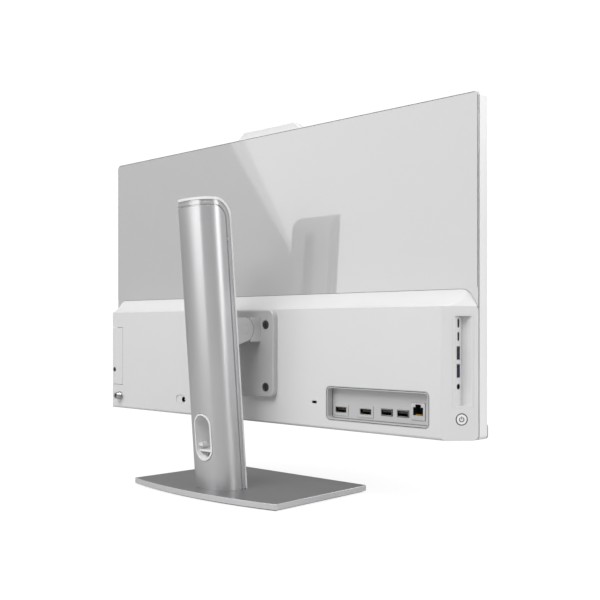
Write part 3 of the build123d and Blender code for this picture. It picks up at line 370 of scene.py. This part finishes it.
def metal_rims(shape):
    """Thin metal shells round the mouths of the rear sockets, and the network socket's stepped face plate."""
    for x in USB_X:
        rim(shape, x, 106.5, 7.1, 3.2, -15.75, 0.4)
    for x in HDMI_X:
        rim(shape, x, 105.4, 7.7, 3.0, -15.85, 0.45)
    plate = (((-8.9, 100.8), (-6.3, 119.0)), ((6.3, 100.8), (8.9, 119.0)), ((-6.3, 100.8), (6.3, 105.9)),
             ((-6.3, 117.5), (6.3, 119.0)), ((-6.3, 114.5), (-3.5, 117.5)), ((3.5, 114.5), (6.3, 117.5)))
    for low, high in plate:
        add_block(shape, (LAN_X + low[0], -16.2, low[1]), (LAN_X + high[0], -15.78, high[1]))


def rim(shape, x, z, half_x, half_z, y, thick):
    """Rectangular ring of folded sheet, its face at y."""
    deep = 3.0
    for side in (-1, 1):
        add_block(shape, (x - half_x, y - deep, z + side * half_z - thick / 2),
                  (x + half_x, y, z + side * half_z + thick / 2), 0.08)
        add_block(shape, (x + side * half_x - thick / 2, y - deep, z - half_z),
                  (x + side * half_x + thick / 2, y, z + half_z), 0.08)


new_piece("socket_rims", metal_rims, "plated", "display")


def network_contacts(shape):
    """Eight sprung wires in the network socket."""
    for k in range(8):
        at = LAN_X - 3.57 + 1.02 * k
        add_block(shape, (at - 0.25, -27.0, 106.0), (at + 0.25, -17.5, 107.1), 0.08)


new_piece("network_contacts", network_contacts, "gold", "display")


def antenna_shape(shape):
    """Threaded barrel with a socket in its end."""
    profile = [(4.75, 0.0)]
    height = 8.0
    while height < 16.8:
        profile += [(4.75, height), (4.32, height + 0.4)]
        height += 0.8
    profile += [(4.3, 17.6), (2.35, 17.6), (2.3, 12.4), (0.75, 12.4), (0.7, 17.0), (0.3, 17.2)]
    place = Matrix.Translation((0.265, -0.016, 0.101)) @ Matrix.Rotation(-math.pi / 2, 4, "X")
    add_lathe(shape, [(r * MM, h * MM) for r, h in profile], place)


antenna = new_piece("antenna_thread", antenna_shape, "plated", "display")
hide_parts("antenna_socket")


def inlet_liner(shape):
    """Black cup round the pin of the power inlet."""
    place = Matrix.Translation((0.1248, -0.0198, 0.1027)) @ Matrix.Rotation(-math.pi / 2, 4, "X")
    profile = ((3.66, 0), (3.66, 11.6), (3.2, 11.7), (3.2, 0.3))
    add_lathe(shape, [(r * MM, h * MM) for r, h in profile], place)


new_piece("inlet_liner", inlet_liner, "dark", "display")


def rounded_ring(shape, low, high, radius, width, y):
    """Flat-sided ring with rounded corners, in mm: corners in X and Z, ring width, range along Y."""
    loops = []
    for inset in (0, width):
        corner = radius - inset
        for back in y:
            loop = []
            for quarter, (sx, sz) in enumerate(((1, 1), (-1, 1), (-1, -1), (1, -1))):
                cx = (high[0] if sx > 0 else low[0]) - sx * radius
                cz = (high[1] if sz > 0 else low[1]) - sz * radius
                for k in range(9):
                    turn = (quarter + k / 8) * math.pi / 2
                    at = Vector((cx + corner * math.cos(turn), back, cz + corner * math.sin(turn)))
                    loop.append(shape.verts.new(at * MM))
            loops.append(loop)
    count = len(loops[0])
    for a, b in ((0, 1), (1, 3), (3, 2), (2, 0)):
        for k in range(count):
            n = (k + 1) % count
            shape.faces.new((loops[a][k], loops[a][n], loops[b][n], loops[b][k]))


def tray_painted_shade(shape):
    """Painted shade: dark rings in the groove round the socket recess and at the foot of its wall, where
    shade falls.
    """
    rounded_ring(shape, (-267.85, 94.05), (-128.05, 131.75), 5.1, 0.6, (-9.2, -8.1))
    rounded_ring(shape, (-266.0, 95.9), (-129.9, 129.9), 3.3, 0.35, (-16.6, -16.1))


# Painted shade rings in the socket tray's groove and at the foot of its wall, drawn in the dark seam finish.
new_piece("tray_painted_shade", tray_painted_shade, "seam", "display")


def panel_seam(shape):
    """Dark gasket that shows as a fine line along the top and sides of the glossy rear panel."""
    add_block(shape, (-305.0, -35.6, 439.75), (305.0, -34.93, 440.25))
    for side in (-1, 1):
        at = side * 308.45
        add_block(shape, (at - 0.25, -35.6, 240.0), (at + 0.25, -34.93, 436.5))


new_piece("panel_seam", panel_seam, "seam", "display")

# ---------------------------------------------------------------- power symbol
SLANT = math.atan2(27.5, 24.0)
OUT = Vector((-math.sin(SLANT), math.cos(SLANT), 0))
ALONG = Vector((-math.cos(SLANT), -math.sin(SLANT), 0))
UP = Vector((0, 0, 1))
low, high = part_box("power_button")
button_middle = (low + high) / 2
button_face = button_middle + OUT * 2.5 * MM


def power_symbol(shape):
    """Broken ring with an upright bar, raised slightly from the button."""
    inner, outer, thick = 1.9 * MM, 2.7 * MM, 0.15 * MM
    gap = math.radians(32)
    steps = 40
    columns = []
    for k in range(steps + 1):
        turn = math.pi / 2 + gap + (2 * math.pi - 2 * gap) * k / steps
        column = []
        for radius in (inner, outer):
            for lift in (-0.5 * thick, thick):
                at = button_face + (ALONG * math.cos(turn) + UP * math.sin(turn)) * radius + OUT * lift
                column.append(shape.verts.new(at))
        columns.append(column)
    for a, b in zip(columns, columns[1:]):
        for i, j in ((0, 1), (1, 3), (3, 2), (2, 0)):
            shape.faces.new((a[i], a[j], b[j], b[i]))
    shape.faces.new(columns[0][:2] + [columns[0][3], columns[0][2]])
    shape.faces.new([columns[-1][k] for k in (0, 2, 3, 1)])
    corners = []
    for lift in (-0.5 * thick, thick):
        for across, upward in ((-0.38, 0.3), (0.38, 0.3), (0.38, 3.1), (-0.38, 3.1)):
            at = button_face + ALONG * across * MM + UP * upward * MM + OUT * lift
            corners.append(shape.verts.new(at))
    for face in ((0, 1, 2, 3), (7, 6, 5, 4), (0, 4, 5, 1), (1, 5, 6, 2), (2, 6, 7, 3), (3, 7, 4, 0)):
        shape.faces.new([corners[k] for k in face])


new_piece("power_symbol", power_symbol, "dark", "button")

# ---------------------------------------------------------------- stage, lights, camera
floor_mesh = bpy.data.meshes.new("floor")
reach = 12.0
floor_mesh.from_pydata([(-reach, -reach, 0), (reach, -reach, 0), (reach, reach, 0), (-reach, reach, 0)], [],
                       [(0, 1, 2, 3)])
floor = bpy.data.objects.new("floor", floor_mesh)
bpy.context.scene.collection.objects.link(floor)


def floor_material():
    """Seamless sweep: white to the camera and fading into the backdrop, duller in what it throws back up."""
    mat = finish("floor_pale", (0.95, 0.95, 0.95), 0.6, drift=0.004, spec=0.2)
    tree = mat.node_tree
    bsdf = tree.nodes["Principled BSDF"]
    rays = tree.nodes.new("ShaderNodeLightPath")
    tone = tree.nodes.new("ShaderNodeMix")
    tone.data_type = "RGBA"
    tone.inputs["A"].default_value = (0.42, 0.42, 0.42, 1)
    tone.inputs["B"].default_value = (0.95, 0.95, 0.95, 1)
    link(tree, rays, "Is Camera Ray", tone, "Factor")
    link(tree, tone, "Result", bsdf, "Base Color")
    where = tree.nodes.new("ShaderNodeTexCoord")
    apart = tree.nodes.new("ShaderNodeVectorMath")
    apart.operation = "LENGTH"
    link(tree, where, "Object", apart, 0)
    far = tree.nodes.new("ShaderNodeMapRange")
    far.inputs["From Min"].default_value = 0.10
    far.inputs["From Max"].default_value = 0.32
    far.inputs["To Min"].default_value = 0.7
    link(tree, apart, "Value", far, "Value")
    seen = tree.nodes.new("ShaderNodeMath")
    seen.operation = "MULTIPLY"
    link(tree, far, "Result", seen, 0)
    link(tree, rays, "Is Camera Ray", seen, 1)
    glow = tree.nodes.new("ShaderNodeEmission")
    glow.inputs["Color"].default_value = (1, 1, 1, 1)
    glow.inputs["Strength"].default_value = 1.05
    pick = tree.nodes.new("ShaderNodeMixShader")
    link(tree, seen, "Value", pick, "Fac")
    tree.links.new(bsdf.outputs[0], pick.inputs[1])
    tree.links.new(glow.outputs[0], pick.inputs[2])
    tree.links.new(pick.outputs[0], tree.nodes["Material Output"].inputs["Surface"])
    return mat


floor_mesh.materials.append(floor_material())

scene = bpy.context.scene
scene.view_settings.view_transform = "Standard"
world = bpy.data.worlds.new("studio")
scene.world = world
world.use_nodes = True
tree = world.node_tree
background = tree.nodes["Background"]
background.inputs["Color"].default_value = (1, 1, 1, 1)
background.inputs["Strength"].default_value = 0.42
bright = tree.nodes.new("ShaderNodeBackground")
bright.inputs["Color"].default_value = (1, 1, 1, 1)
bright.inputs["Strength"].default_value = 1.05
path = tree.nodes.new("ShaderNodeLightPath")
pick = tree.nodes.new("ShaderNodeMixShader")
link(tree, path, "Is Camera Ray", pick, "Fac")
tree.links.new(background.outputs[0], pick.inputs[1])
tree.links.new(bright.outputs[0], pick.inputs[2])
tree.links.new(pick.outputs[0], tree.nodes["World Output"].inputs["Surface"])


def soft_light(name, at, aim, width, height, power, roll=0.0):
    """Rectangular softbox at a place, aimed at a point and rolled by some degrees round that line."""
    lamp = bpy.data.lights.new(name, "AREA")
    lamp.shape = "RECTANGLE"
    lamp.size, lamp.size_y = width, height
    lamp.energy = power
    holder = bpy.data.objects.new(name, lamp)
    holder.location = at
    turn = (Vector(aim) - Vector(at)).to_track_quat("-Z", "Y") @ Quaternion((0, 0, 1), math.radians(roll))
    holder.rotation_euler = turn.to_euler()
    holder.visible_camera = False
    scene.collection.objects.link(holder)
    return holder


soft_light("key", (-0.3, 1.9, 2.3), (0, 0, 0.25), 2.0, 1.6, 52)
soft_light("tall_box", (1.40, 2.15, 0.75), (0, 0, 0.3), 1.0, 1.7, 4.5, 23)
soft_light("tall_box_wide", (1.38, 2.25, 0.75), (0, 0, 0.3), 1.18, 1.7, 6, 28)
soft_light("side_box", (-2.36, -0.42, 0.6), (0, 0, 0.3), 1.4, 1.4, 12)
soft_light("side_high", (-2.5, -0.5, 1.8), (0, 0, 0.25), 1.2, 1.2, 14)
soft_light("top", (0.1, 0.1, 2.4), (0, 0, 0.2), 1.8, 1.2, 14)
soft_light("front_fill", (-1.2, -2.2, 1.6), (0, 0, 0.25), 1.6, 1.6, 14)

TURN = math.radians(44.021)
camera_data = bpy.data.cameras.new("camera")
camera_data.sensor_width = 36
camera_data.lens = 53.742
camera_data.shift_x = 0.0333
camera_data.shift_y = 0.0472
camera_data.dof.use_dof = False
camera = bpy.data.objects.new("camera", camera_data)
camera.location = (-0.7987, 0.76236, 0.19767)
camera.rotation_euler = Vector((math.sin(TURN), -math.cos(TURN), 0)).to_track_quat("-Z", "Y").to_euler()
scene.collection.objects.link(camera)
scene.camera = camera
